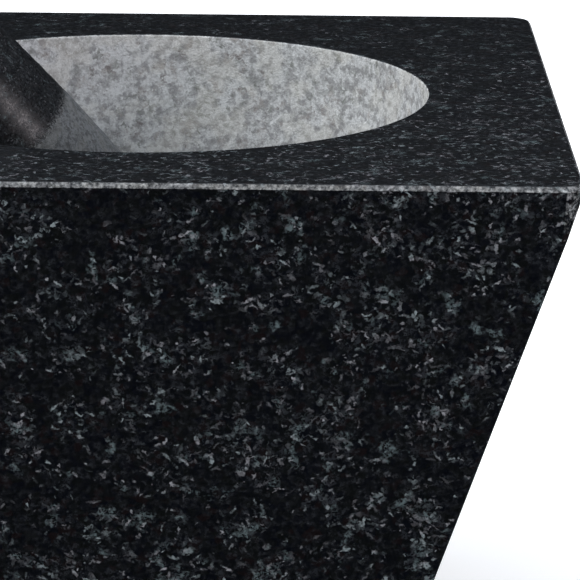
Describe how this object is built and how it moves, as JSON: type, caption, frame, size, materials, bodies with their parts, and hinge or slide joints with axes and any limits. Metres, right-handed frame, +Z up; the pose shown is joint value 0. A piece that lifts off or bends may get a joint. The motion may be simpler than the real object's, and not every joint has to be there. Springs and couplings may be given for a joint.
{
  "type": "mortar and pestle",
  "caption": "Square block mortar of polished black granite that narrows to the base, with a round ground bowl and a separate turned granite pestle leaning in it.",
  "frame": {"origin": "middle of the square base, on the surface that the four pads stand on", "axes": "+Z up out of the bowl, -Y towards the front face of the block, +X to the right; the pestle leans to the left and a little to the front"},
  "size_m": [0.1599, 0.1494, 0.1661],
  "materials": {
    "mortar_granite": "polished outside, bowl ground matt and paler",
    "pestle_granite": "honed grip, rough ground head",
    "pad_rubber": "matt"
  },
  "bodies": {
    "mortar": {"mortar": "mortar_granite", "pad_front_left": "pad_rubber", "pad_front_right": "pad_rubber", "pad_back_left": "pad_rubber", "pad_back_right": "pad_rubber"},
    "pestle": {"pestle": "pestle_granite"}
  },
  "joints": [
    {"name": "pestle_lift", "type": "slide", "parent": "mortar", "child": "pestle", "axis": [0, 0, 1], "range_m": [0, 0.12]}
  ]
}
